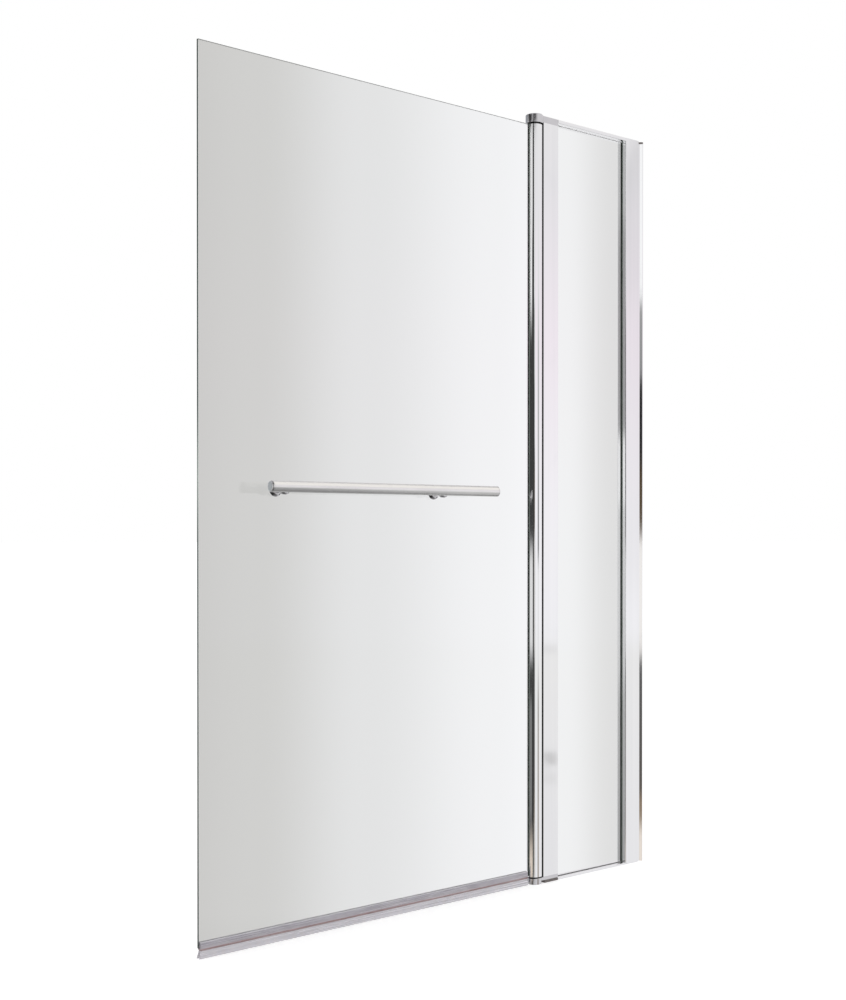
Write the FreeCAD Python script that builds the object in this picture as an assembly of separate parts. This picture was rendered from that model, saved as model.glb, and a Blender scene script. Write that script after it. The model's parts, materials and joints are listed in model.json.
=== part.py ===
import FreeCAD, Part
import math
import os
from FreeCAD import Vector as V

os.makedirs("parts", exist_ok=True)

# Bath screen: a narrow fixed pane held to the wall at X = 0 and a wide hinged
# glass door beyond it, both standing on the bath rim at Z = 0.
# Millimetres. X runs along the screen and is negative away from the wall.
# The outer face, with the towel rail, looks to -Y. The bath is on the +Y side.
# The glass planes lie on Y = 0.

# ---------------------------------------------------------------- dimensions
SCREEN_WIDTH = 1005.0        # wall to the door's free edge
SCREEN_HEIGHT = 1433.0       # bath rim to the top of the hinge cap
FRAME_TOP = 1432.0           # top of rails and wall profile
GLASS_T = 5.0                # both panes
FRAME_HALF = 12.5            # half depth of post, rails and glazing profile

PIVOT_X = -288.2             # vertical hinge axis
BARREL_R = 15.2
BARREL_Z0, BARREL_Z1 = 14.0, 1414.0
BORE_R = 5.5                 # bore of the barrel for the bushes
SLOT_HALF = 3.2              # half width of every glazing slot

DOOR_GLASS_Z0, DOOR_GLASS_Z1 = 16.0, 1414.0
DOOR_GLASS_X1 = -296.8       # edge inside the barrel
BARREL_SLOT_X1 = -296.0      # floor of the barrel's glazing slot

POST_X0, POST_X1 = -276.0, -237.4
HOLLOW_R = 17.5              # hollowed side of the post, about the hinge axis
POST_Z0, POST_Z1 = 12.0, 1419.5
POST_SLOT_X0 = -247.4
GAP_SEAL_R = 15.5            # inner face of the strip that lines the hollow

CAP_TOP_R = 16.8
CAP_TOP_Z0 = 1417.0
CAP_BOTTOM_R = 14.6
CAP_BOTTOM_Z1 = 11.2
FOOT_PAD_T = 5.5
CAP_SCREW_X = -258.0
CAP_SCREW_Y = 5.0

PIN_R = 4.0
BUSH_BORE_R = 4.05           # running fit on the pins
BUSH_FLANGE_R = 9.0

PANE_X0, PANE_X1 = -246.4, -42.6     # fixed pane
PANE_Z0, PANE_Z1 = 2.6, 1429.0
TOP_RAIL_Z0 = 1425.5
BOTTOM_RAIL_Z1 = 3.5

PROFILE_X0, PROFILE_X1 = -49.8, -12.6
PROFILE_TOP = 1430.0
PROFILE_SLOT_X1 = -41.8
PROFILE_CORNER_R = 2.0       # rounded corners on the pane's side
PROFILE_LIP_HALF = 8.8       # lips and guide ribs that the channel slides between
CHANNEL_DEPTH = 38.0
CHANNEL_HALF = 8.5
CHANNEL_WALL = 1.4
CHANNEL_TOP = 1428.0
FOOT_T = 3.0
BEVEL_T = 1.4                # flat edge of the foot, before its bevel starts
WALL_HOLE_R = 2.5
WALL_HOLE_MID = 716.0
WALL_HOLE_OUTER = 1200.0     # spacing of the outer pair
WALL_HOLE_INNER = 400.0      # spacing of the inner pair
LOCK_SCREW_X = -26.0
LOCK_SCREW_Z = (160.0, 716.0, 1272.0)

BEAD_W = 1.5                 # gasket bead that shows beside each profile
BEAD_H = 1.1                 # how far the bead stands off the glass

SEAL_X1 = -308.0
SEAL_GRIP_TOP = 25.5
SEAL_WEB_Z0 = 13.2

BAR_Y, BAR_Z = -44.0, 728.6  # axis of the towel bar
BAR_R, BAR_WALL = 9.25, 1.2
BAR_X0, BAR_X1 = -901.4, -421.3
END_CAP_T = 3.0
RAIL_X = (-866.7, -538.0)    # axes of the two stand-off posts
RAIL_Z = 725.7               # they sit a little below the bar's axis
ROSE_R, ROSE_T = 12.4, 7.0
NECK_R, HEAD_R = 5.5, 9.6
HEAD_Y0, HEAD_Y1 = -37.0, -27.0
HEAD_ROUND = 3.2
WASHER_T = 1.0
REAR_R = 7.0                 # washers behind the pane
GLASS_HOLE_R = 5.0
BOLT_R = 2.5

G = GLASS_T / 2.0
EASE = 0.05                  # the clear strips clear the pane's faces by a hair


# ---------------------------------------------------------------- helpers
def box(x0, x1, y0, y1, z0, z1):
    return Part.makeBox(x1 - x0, y1 - y0, z1 - z0, V(x0, y0, z0))


def cyl_z(x, y, r, z0, z1):
    return Part.makeCylinder(r, z1 - z0, V(x, y, z0), V(0, 0, 1))


def cyl_y(x, z, r, y0, y1):
    return Part.makeCylinder(r, y1 - y0, V(x, y0, z), V(0, 1, 0))


def cyl_x(y, z, r, x0, x1):
    return Part.makeCylinder(r, x1 - x0, V(x0, y, z), V(1, 0, 0))


def cone_z(x, y, r0, r1, z0, z1):
    return Part.makeCone(r0, r1, z1 - z0, V(x, y, z0), V(0, 0, 1))


def prism(points, axis, length):
    """A closed polygon of 3D points pushed along an axis."""
    wire = Part.makePolygon([V(*p) for p in points] + [V(*points[0])])
    return Part.Face(wire).extrude(V(*axis) * length)


def turned(points, x, z):
    """Solid turned about an axis along Y through (x, z). A point is (radius, y), or a pair of them for an arc: a point on the way and its end."""
    edges, last = [], None
    for p in points + [points[0]]:
        arc = isinstance(p[0], tuple)
        end = V(x + (p[1] if arc else p)[0], (p[1] if arc else p)[1], z)
        if last is not None:
            if arc:
                edges.append(Part.Arc(last, V(x + p[0][0], p[0][1], z), end).toShape())
            else:
                edges.append(Part.makeLine(last, end))
        last = end
    return Part.Face(Part.Wire(edges)).revolve(V(x, 0, z), V(0, 1, 0), 360)


def revolve_y(points, x, z):
    """A closed (radius, y) outline turned about the line through (x, z) along Y."""
    pts = [V(x + r, y, z) for r, y in points]
    face = Part.Face(Part.makePolygon(pts + [pts[0]]))
    return face.revolve(V(x, 0, z), V(0, 1, 0), 360)


def vertical_edges(shape, tests):
    """Straight edges along Z whose (x, y) is close to one of the given pairs."""
    out = []
    for e in shape.Edges:
        a, b = e.Vertexes[0].Point, e.Vertexes[-1].Point
        if abs(a.x - b.x) > 0.01 or abs(a.y - b.y) > 0.01 or abs(a.z - b.z) < 1.0:
            continue
        if any(abs(a.x - x) < 0.05 and abs(a.y - y) < 0.05 for x, y in tests):
            out.append(e)
    return out


def edges_at_z(shape, z, keep=lambda p: True):
    out = []
    for e in shape.Edges:
        bb = e.BoundBox
        if abs(bb.ZMin - z) < 0.01 and abs(bb.ZMax - z) < 0.01 and keep(e.CenterOfMass):
            out.append(e)
    return out


def clean(shape):
    shape = shape.removeSplitter()
    if shape.ShapeType == "Compound" and len(shape.Solids) == 1:
        shape = shape.Solids[0]
    return shape


NODES = {}


def put(name, shape, solids=1):
    shape = clean(shape)
    found = len(shape.Solids)
    if found != solids or not shape.isValid():
        raise RuntimeError("%s: %d solids, valid %s" % (name, found, shape.isValid()))
    NODES[name] = shape


# ---------------------------------------------------------------- wall side
# The channel: a foot against the wall, a bevel from its edge down to the side
# wall on each side, and two side walls that the profile covers.
BEVEL_X = -BEVEL_T - (FRAME_HALF - CHANNEL_HALF)
channel = box(-BEVEL_T, 0, -FRAME_HALF, FRAME_HALF, 0, CHANNEL_TOP)
channel = channel.fuse(box(-FOOT_T, 0, -CHANNEL_HALF + 1, CHANNEL_HALF - 1, 0, CHANNEL_TOP))
for s in (-1, 1):
    inner = s * (CHANNEL_HALF - CHANNEL_WALL)
    y0, y1 = sorted((s * CHANNEL_HALF, inner))
    channel = channel.fuse(box(-CHANNEL_DEPTH, 0, y0, y1, 0, CHANNEL_TOP))
    bevel = [(-BEVEL_T, s * FRAME_HALF), (BEVEL_X, s * CHANNEL_HALF), (BEVEL_X, inner), (-BEVEL_T, inner)]
    channel = channel.fuse(prism([(x, y, 0) for x, y in bevel], (0, 0, 1), CHANNEL_TOP))
for dz in (-WALL_HOLE_OUTER / 2, -WALL_HOLE_INNER / 2, WALL_HOLE_INNER / 2, WALL_HOLE_OUTER / 2):
    channel = channel.cut(cyl_x(0, WALL_HOLE_MID + dz, WALL_HOLE_R, -FOOT_T - 1, 1))
for z in LOCK_SCREW_Z:
    channel = channel.cut(cyl_y(LOCK_SCREW_X, z, 1.6, CHANNEL_HALF - 3, CHANNEL_HALF + 1))
channel = clean(channel)
channel = channel.makeFillet(0.5, vertical_edges(channel, [(-BEVEL_T, -FRAME_HALF), (-BEVEL_T, FRAME_HALF)]))
put("wall_channel", channel)

# Dark plug that closes the strip of channel left showing beside the profile.
outline = [(PROFILE_X1 + 0.1, -CHANNEL_HALF), (BEVEL_X, -CHANNEL_HALF), (-BEVEL_T, -FRAME_HALF), (0, -FRAME_HALF),
           (0, FRAME_HALF), (-BEVEL_T, FRAME_HALF), (BEVEL_X, CHANNEL_HALF), (PROFILE_X1 + 0.1, CHANNEL_HALF)]
plug = prism([(x, y, CHANNEL_TOP) for x, y in outline], (0, 0, 1), FRAME_TOP - CHANNEL_TOP)
plug = plug.makeChamfer(0.6, edges_at_z(plug, FRAME_TOP))
spigot = CHANNEL_HALF - CHANNEL_WALL - 0.3
plug = plug.fuse(box(PROFILE_X1 + 0.6, -FOOT_T - 2.3, -spigot, spigot, CHANNEL_TOP - 12, CHANNEL_TOP))
put("wall_channel_cap", plug)

# Glazing profile: a slot for the pane on one side, a deep open box on the other.
profile = box(PROFILE_X0, PROFILE_X1, -FRAME_HALF, FRAME_HALF, 0, PROFILE_TOP)
profile = profile.makeFillet(PROFILE_CORNER_R, vertical_edges(profile, [(PROFILE_X0, -FRAME_HALF), (PROFILE_X0, FRAME_HALF)]))
profile = profile.makeFillet(0.8, vertical_edges(profile, [(PROFILE_X1, -FRAME_HALF), (PROFILE_X1, FRAME_HALF)]))
room = box(-40.0, PROFILE_X1 - 1.5, -11.3, 11.3, -1, PROFILE_TOP + 1)
for s in (-1, 1):
    y0, y1 = sorted((s * PROFILE_LIP_HALF, s * 12.0))
    room = room.cut(box(-34.0, -32.6, y0, y1, -2, PROFILE_TOP + 2))
profile = profile.cut(room)
profile = profile.cut(box(-20.0, PROFILE_X1 + 1, -PROFILE_LIP_HALF, PROFILE_LIP_HALF, -1, PROFILE_TOP + 1))
profile = profile.cut(box(PROFILE_X0 - 1, PROFILE_SLOT_X1, -SLOT_HALF, SLOT_HALF, -1, PROFILE_TOP + 1))
for s in (-1, 1):
    y0, y1 = sorted((s * 5.0, s * 11.3))
    profile = profile.cut(box(PROFILE_X0 + 1.4, -41.6, y0, y1, -1, PROFILE_TOP + 1))
for z in LOCK_SCREW_Z:
    profile = profile.cut(cyl_y(LOCK_SCREW_X, z, 1.9, 10, FRAME_HALF + 1))
put("glazing_profile", profile)

# Its top cap, with two spigots in the profile's small chambers.
cap = box(PROFILE_X0, PROFILE_X1, -FRAME_HALF, FRAME_HALF, PROFILE_TOP, FRAME_TOP)
cap = cap.makeFillet(PROFILE_CORNER_R, vertical_edges(cap, [(PROFILE_X0, -FRAME_HALF), (PROFILE_X0, FRAME_HALF)]))
cap = cap.makeFillet(0.8, vertical_edges(cap, [(PROFILE_X1, -FRAME_HALF), (PROFILE_X1, FRAME_HALF)]))
cap = cap.makeChamfer(0.5, edges_at_z(cap, FRAME_TOP))
for s in (-1, 1):
    y0, y1 = sorted((s * 5.2, s * 11.1))
    cap = cap.fuse(box(PROFILE_X0 + 1.6, -41.8, y0, y1, PROFILE_TOP - 9, PROFILE_TOP))
put("glazing_profile_cap", cap)

# Lock screws with pan heads on the bath side, and their domed snap caps.
screws, covers = [], []
for z in LOCK_SCREW_Z:
    s = revolve_y([(0, 2.5), (0.9, 3.2), (1.5, 4.6), (1.5, FRAME_HALF), (3.4, FRAME_HALF), (3.4, 13.6),
                   (2.7, 14.4), (0, 14.6)], LOCK_SCREW_X, z)
    s = s.cut(box(LOCK_SCREW_X - 2.0, LOCK_SCREW_X + 2.0, 13.7, 15, z - 0.4, z + 0.4))
    s = s.cut(box(LOCK_SCREW_X - 0.4, LOCK_SCREW_X + 0.4, 13.7, 15, z - 2.0, z + 2.0))
    screws.append(clean(s))
    c = revolve_y([(3.7, FRAME_HALF), (5.4, FRAME_HALF), (5.2, 14.2), (4.3, 15.6), (2.6, 16.4), (0, 16.7),
                   (0, 15.2), (3.7, 15.0)], LOCK_SCREW_X, z)
    covers.append(c)
put("profile_screws", Part.makeCompound(screws), 3)
put("screw_cover_caps", Part.makeCompound(covers), 3)

# ---------------------------------------------------------------- fixed pane
pane = box(PANE_X0, PANE_X1, -G, G, PANE_Z0, PANE_Z1)
pane = pane.makeChamfer(0.5, [e for e in pane.Edges if e.Length > 100])
put("fixed_glass", pane)


def upright_gasket(x_glass, x_floor, x_mouth, direction, z0, z1):
    """U-shaped gasket on an upright glass edge, with a wedge bead each side of the mouth."""
    a, b = sorted((x_floor, x_mouth))
    g = box(a, b, -SLOT_HALF + 0.05, SLOT_HALF - 0.05, z0, z1)
    for s in (-1, 1):
        m = x_mouth
        e = x_mouth + direction * BEAD_W
        pts = [(m, s * G, z0), (e, s * G, z0), (e, s * (G + 0.5), z0), (m + direction * 0.8, s * (G + BEAD_H), z0),
               (m, s * (G + BEAD_H), z0)]
        g = g.fuse(prism(pts, (0, 0, 1), z1 - z0))
    c, d = sorted((x_glass, x_mouth + direction * (BEAD_W + 1)))
    return g.cut(box(c, d, -G, G, z0 - 1, z1 + 1))


put("wall_side_gasket", upright_gasket(PANE_X1, PROFILE_SLOT_X1 - 0.05, PROFILE_X0, -1, BOTTOM_RAIL_Z1 + 0.1, TOP_RAIL_Z0 - 0.1))
put("post_side_gasket", upright_gasket(PANE_X0, POST_SLOT_X0 + 0.05, POST_X1, 1, BOTTOM_RAIL_Z1 + 8.6, TOP_RAIL_Z0 - 6.1))

# Rails on the pane's top and bottom edges, each with a groove and a gasket.
RAIL_X0, RAIL_X1 = POST_X1, PROFILE_X0
rail = box(RAIL_X0, RAIL_X1, -FRAME_HALF, FRAME_HALF, TOP_RAIL_Z0, FRAME_TOP)
rail = rail.makeFillet(0.8, [e for e in rail.Edges if e.Length > 100])
rail = rail.cut(box(RAIL_X0 - 1, RAIL_X1 + 1, -SLOT_HALF, SLOT_HALF, TOP_RAIL_Z0 - 1, 1429.8))
put("top_rail", rail)
gk = box(RAIL_X0 + BEAD_W + 0.2, RAIL_X1 - BEAD_W - 0.2, -SLOT_HALF + 0.05, SLOT_HALF - 0.05, TOP_RAIL_Z0 - 0.6, 1429.75)
gk = gk.cut(box(RAIL_X0 - 1, RAIL_X1 + 1, -G - EASE, G + EASE, TOP_RAIL_Z0 - 2, PANE_Z1))
put("top_rail_gasket", gk)

rail = box(RAIL_X0, RAIL_X1, -FRAME_HALF, FRAME_HALF, 0, BOTTOM_RAIL_Z1)
rail = rail.makeFillet(0.6, [e for e in rail.Edges if e.Length > 100 and e.CenterOfMass.z > 1])
rail = rail.cut(box(RAIL_X0 - 1, RAIL_X1 + 1, -SLOT_HALF, SLOT_HALF, 1.8, BOTTOM_RAIL_Z1 + 1))
put("bottom_rail", rail)
gk = box(RAIL_X0 + BEAD_W + 0.2, RAIL_X1 - BEAD_W - 0.2, -SLOT_HALF + 0.05, SLOT_HALF - 0.05, 1.85, BOTTOM_RAIL_Z1 + 0.6)
gk = gk.cut(box(RAIL_X0 - 1, RAIL_X1 + 1, -G - EASE, G + EASE, PANE_Z0, BOTTOM_RAIL_Z1 + 2))
put("bottom_rail_gasket", gk)

# ---------------------------------------------------------------- hinge post
post = box(POST_X0, POST_X1, -FRAME_HALF, FRAME_HALF, POST_Z0, POST_Z1)
post = post.makeFillet(0.8, vertical_edges(post, [(POST_X1, -FRAME_HALF), (POST_X1, FRAME_HALF),
                                                  (POST_X0, -FRAME_HALF), (POST_X0, FRAME_HALF)]))
post = post.cut(cyl_z(PIVOT_X, 0, HOLLOW_R, POST_Z0 - 1, POST_Z1 + 1))
post = post.cut(box(POST_SLOT_X0, POST_X1 + 1, -SLOT_HALF, SLOT_HALF, POST_Z0 - 1, POST_Z1 + 1))
for s in (-1, 1):
    y0, y1 = sorted((s * 1.2, s * 10.9))
    room = box(-267.0, -249.2, y0, y1, POST_Z0 - 1, POST_Z1 + 1)
    room = room.cut(cyl_z(CAP_SCREW_X, s * CAP_SCREW_Y, 3.9, POST_Z0 - 2, POST_Z1 + 2))
    post = post.cut(room)
    post = post.cut(cyl_z(CAP_SCREW_X, s * CAP_SCREW_Y, 1.6, POST_Z0 - 1, POST_Z1 + 1))
    y0, y1 = sorted((s * 5.2, s * 10.9))
    post = post.cut(box(-247.8, POST_X1 - 1.6, y0, y1, POST_Z0 - 1, POST_Z1 + 1))
put("hinge_post", post)

# Strip that lines the hollowed side and closes the gap to the barrel.
lining = cyl_z(PIVOT_X, 0, HOLLOW_R, POST_Z0 + 0.2, 1416.7).cut(cyl_z(PIVOT_X, 0, GAP_SEAL_R, 0, 1500))
lining = lining.common(box(PIVOT_X, POST_X1, -11.2, 11.2, 0, 1500))
put("hinge_gap_seal", lining)

# Top cap: a round end over the barrel and an arm over the post.
cap = cyl_z(PIVOT_X, 0, CAP_TOP_R, CAP_TOP_Z0, SCREEN_HEIGHT)
cap = cap.makeChamfer(1.1, edges_at_z(cap, SCREEN_HEIGHT))
arm = box(-282.0, POST_X1, -FRAME_HALF, FRAME_HALF, POST_Z1, FRAME_TOP)
arm = arm.makeFillet(0.8, [e for e in arm.Edges if e.Length > 40 and e.CenterOfMass.z > FRAME_TOP - 0.1]
                     + vertical_edges(arm, [(POST_X1, -FRAME_HALF), (POST_X1, FRAME_HALF)]))
cap = cap.fuse(arm)
cap = cap.cut(cyl_z(PIVOT_X, 0, PIN_R, CAP_TOP_Z0 - 1, 1429.5))
cap = cap.cut(box(POST_SLOT_X0, POST_X1 + 1, -SLOT_HALF, SLOT_HALF, POST_Z1 - 1, 1429.8))
for s in (-1, 1):
    cap = cap.cut(cyl_z(CAP_SCREW_X, s * CAP_SCREW_Y, 1.8, POST_Z1 - 1, FRAME_TOP + 1))
    cap = cap.cut(cone_z(CAP_SCREW_X, s * CAP_SCREW_Y, 1.8, 3.6, FRAME_TOP - 1.8, FRAME_TOP))
put("hinge_cap_top", cap)

# Bottom cap: a round boss under the barrel and an arm under the post.
cap = cyl_z(PIVOT_X, 0, CAP_BOTTOM_R, 0, CAP_BOTTOM_Z1)
cap = cap.makeChamfer(0.5, edges_at_z(cap, CAP_BOTTOM_Z1))
arm = box(-282.0, POST_X1, -FRAME_HALF, FRAME_HALF, FOOT_PAD_T, POST_Z0)
arm = arm.makeFillet(0.8, vertical_edges(arm, [(POST_X1, -FRAME_HALF), (POST_X1, FRAME_HALF)]))
arm = arm.cut(cyl_z(PIVOT_X, 0, HOLLOW_R, CAP_BOTTOM_Z1, POST_Z0 + 1))
cap = cap.fuse(arm)
cap = cap.cut(cyl_z(PIVOT_X, 0, PIN_R, 1.5, CAP_BOTTOM_Z1 + 1))
cap = cap.cut(box(POST_SLOT_X0, POST_X1 + 1, -SLOT_HALF, SLOT_HALF, FOOT_PAD_T - 1, POST_Z0 + 1))
for s in (-1, 1):
    cap = cap.cut(cyl_z(CAP_SCREW_X, s * CAP_SCREW_Y, 1.8, FOOT_PAD_T - 1, POST_Z0 + 1))
    cap = cap.cut(cone_z(CAP_SCREW_X, s * CAP_SCREW_Y, 3.6, 1.8, FOOT_PAD_T, FOOT_PAD_T + 1.8))
put("hinge_cap_bottom", cap)

# Dark pad under the bottom cap's arm.
pad = box(-272.0, POST_X1 - 0.3, -FRAME_HALF + 0.3, FRAME_HALF - 0.3, 0, FOOT_PAD_T)
pad = pad.makeFillet(1.0, vertical_edges(pad, [(POST_X1 - 0.3, -FRAME_HALF + 0.3), (POST_X1 - 0.3, FRAME_HALF - 0.3)]))
pad = pad.cut(cyl_z(PIVOT_X, 0, CAP_BOTTOM_R + 0.2, -1, 10))
pad = pad.cut(box(POST_SLOT_X0, POST_X1 + 1, -SLOT_HALF, SLOT_HALF, 1.8, FOOT_PAD_T + 1))
put("foot_pad", pad)


def cap_screw(x, y, z_head, direction, length):
    """Countersunk tapping screw. direction is the way its tip points along Z."""
    d = direction
    pts = [(0, z_head), (3.5, z_head), (1.5, z_head + d * 1.9), (1.5, z_head + d * (length - 2.5)), (0.2, z_head + d * length),
           (0, z_head + d * length)]
    wire = Part.makePolygon([V(x + r, y, z) for r, z in pts] + [V(x, y, z_head)])
    s = Part.Face(wire).revolve(V(x, y, 0), V(0, 0, 1), 360)
    za, zb = sorted((z_head - d, z_head + d * 0.9))
    s = s.cut(box(x - 1.8, x + 1.8, y - 0.35, y + 0.35, za, zb)).cut(box(x - 0.35, x + 0.35, y - 1.8, y + 1.8, za, zb))
    return clean(s)


put("cap_screws_top", Part.makeCompound([cap_screw(CAP_SCREW_X, s * CAP_SCREW_Y, FRAME_TOP - 0.1, -1, 32.0) for s in (-1, 1)]), 2)
put("cap_screws_bottom", Part.makeCompound([cap_screw(CAP_SCREW_X, s * CAP_SCREW_Y, FOOT_PAD_T + 0.1, 1, 28.0) for s in (-1, 1)]), 2)

# Pins pressed into the caps; the bushes in the barrel turn on them.
pin = cyl_z(PIVOT_X, 0, PIN_R, 1392.0, 1429.5)
pin = pin.makeChamfer(0.8, edges_at_z(pin, 1392.0))
put("pivot_pin_top", pin)
pin = cyl_z(PIVOT_X, 0, PIN_R, 1.5, 38.0)
pin = pin.makeChamfer(0.8, edges_at_z(pin, 38.0))
put("pivot_pin_bottom", pin)

# ---------------------------------------------------------------- door
# Barrel: outer tube, inner tube for the bushes, glazing slot and webs.
barrel = cyl_z(PIVOT_X, 0, BARREL_R, BARREL_Z0, BARREL_Z1)
core = cyl_z(PIVOT_X, 0, BORE_R + 2.0, BARREL_Z0 - 1, BARREL_Z1 + 1)
core = core.fuse(box(PIVOT_X - BARREL_R, PIVOT_X, -SLOT_HALF - 1.7, SLOT_HALF + 1.7, BARREL_Z0 - 1, BARREL_Z1 + 1))
core = core.fuse(box(PIVOT_X, PIVOT_X + BARREL_R, -1.0, 1.0, BARREL_Z0 - 1, BARREL_Z1 + 1))
core = core.fuse(box(PIVOT_X - 1.0, PIVOT_X + 1.0, -BARREL_R, BARREL_R, BARREL_Z0 - 1, BARREL_Z1 + 1))
rooms = cyl_z(PIVOT_X, 0, BARREL_R - 1.8, BARREL_Z0 - 1, BARREL_Z1 + 1).cut(core)
barrel = barrel.cut(rooms)
barrel = barrel.cut(cyl_z(PIVOT_X, 0, BORE_R, BARREL_Z0 - 1, BARREL_Z1 + 1))
barrel = barrel.cut(box(PIVOT_X - BARREL_R - 1, BARREL_SLOT_X1, -SLOT_HALF, SLOT_HALF, BARREL_Z0 - 1, BARREL_Z1 + 1))
put("hinge_barrel", barrel)


def bush(z_end, direction):
    """Flanged plain bearing: its flange on the barrel's end, its sleeve inside."""
    d = direction
    a, b = sorted((z_end, z_end + d * 2.5))
    c, e = sorted((z_end, z_end - d * 24.0))
    s = cyl_z(PIVOT_X, 0, BUSH_FLANGE_R, a, b).fuse(cyl_z(PIVOT_X, 0, BORE_R, c, e))
    return s.cut(cyl_z(PIVOT_X, 0, BUSH_BORE_R, min(a, c) - 1, max(b, e) + 1))


put("barrel_bush_top", bush(BARREL_Z1, 1))
put("barrel_bush_bottom", bush(BARREL_Z0, -1))

glass = box(-SCREEN_WIDTH, DOOR_GLASS_X1, -G, G, DOOR_GLASS_Z0, DOOR_GLASS_Z1)
glass = glass.makeChamfer(0.5, [e for e in glass.Edges if e.Length > 100])
for x in RAIL_X:
    glass = glass.cut(cyl_y(x, RAIL_Z, GLASS_HOLE_R, -G - 1, G + 1))
put("door_glass", glass)

# Gasket on the pane's edge in the barrel, with a bead against the round wall.
mouth = PIVOT_X - math.sqrt(BARREL_R ** 2 - SLOT_HALF ** 2)
g = box(mouth - 0.4, BARREL_SLOT_X1 - 0.05, -SLOT_HALF + 0.05, SLOT_HALF - 0.05, DOOR_GLASS_Z0, BARREL_Z1)
for s in (-1, 1):
    e = mouth - BEAD_W
    pts = [(mouth + 3, s * G, 0), (e, s * G, 0), (e, s * (G + 0.5), 0), (e + 0.9, s * (G + BEAD_H), 0), (mouth + 3, s * (G + BEAD_H), 0)]
    pts = [(x, y, DOOR_GLASS_Z0) for x, y, _ in pts]
    bead = prism(pts, (0, 0, 1), BARREL_Z1 - DOOR_GLASS_Z0)
    bead = bead.cut(cyl_z(PIVOT_X, 0, BARREL_R, 0, 1500))
    g = g.fuse(bead)
g = g.cut(box(-320, DOOR_GLASS_X1, -G, G, 0, 1500))
put("door_gasket", g)

# Clear seal: two legs on the glass, a web under it, and two lips down to the rim.
section = [(-4.0, SEAL_GRIP_TOP), (-G - EASE, SEAL_GRIP_TOP), (-G - EASE, DOOR_GLASS_Z0), (G + EASE, DOOR_GLASS_Z0), (G + EASE, SEAL_GRIP_TOP),
           (4.0, SEAL_GRIP_TOP), (4.0, SEAL_WEB_Z0), (3.4, SEAL_WEB_Z0 - 1.2), (4.4, 0.0), (3.2, 0.0), (1.6, SEAL_WEB_Z0 - 2.4),
           (-1.6, SEAL_WEB_Z0 - 2.4), (-3.2, 0.0), (-4.4, 0.0), (-3.4, SEAL_WEB_Z0 - 1.2), (-4.0, SEAL_WEB_Z0)]
seal = prism([(-SCREEN_WIDTH, y, z) for y, z in section], (1, 0, 0), SCREEN_WIDTH + SEAL_X1)
# At the free end the legs stop just short of the pane's edge, and the lips are cut on a slant.
end = [(-SCREEN_WIDTH - 1, SEAL_GRIP_TOP + 1), (-SCREEN_WIDTH + 2.0, SEAL_GRIP_TOP + 1), (-SCREEN_WIDTH + 2.0, SEAL_WEB_Z0 + 0.5),
       (-SCREEN_WIDTH + 3.2, SEAL_WEB_Z0 - 0.6), (-SCREEN_WIDTH, 0.0), (-SCREEN_WIDTH - 1, 0.0)]
seal = seal.cut(prism([(x, -8.0, z) for x, z in end], (0, 1, 0), 16.0))
put("bottom_seal", seal)

# ---------------------------------------------------------------- towel rail
tube = cyl_x(BAR_Y, BAR_Z, BAR_R, BAR_X0 + END_CAP_T + 0.3, BAR_X1 - END_CAP_T - 0.3)
tube = tube.cut(cyl_x(BAR_Y, BAR_Z, BAR_R - BAR_WALL, BAR_X0 - 1, BAR_X1 + 1))
for x in RAIL_X:
    tube = tube.cut(cyl_y(x, RAIL_Z, 3.5, BAR_Y + 3, BAR_Y + BAR_R + 1))
put("towel_bar", tube)


def end_cap(x_end, direction):
    """Slightly domed cap with a plug inside the tube. direction points outward along X."""
    d = direction
    inner = x_end - d * END_CAP_T
    # outline of (distance in from the outer end, radius)
    pts = [(0, 0), (0, BAR_R - 3.4), (0.35, BAR_R - 1.6), (1.1, BAR_R - 0.4), (1.8, BAR_R), (END_CAP_T, BAR_R),
           (END_CAP_T, BAR_R - BAR_WALL - 0.1), (END_CAP_T + 9.0, BAR_R - BAR_WALL - 0.1), (END_CAP_T + 9.0, BAR_R - BAR_WALL - 1.6),
           (END_CAP_T + 0.5, BAR_R - BAR_WALL - 1.6), (END_CAP_T + 0.5, 0)]
    pv = [V(x_end - d * t, BAR_Y, BAR_Z + r) for t, r in pts]
    return Part.Face(Part.makePolygon(pv + [pv[0]])).revolve(V(0, BAR_Y, BAR_Z), V(1, 0, 0), 360)


put("bar_end_cap_left", end_cap(BAR_X0, -1))
put("bar_end_cap_right", end_cap(BAR_X1, 1))

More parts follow.
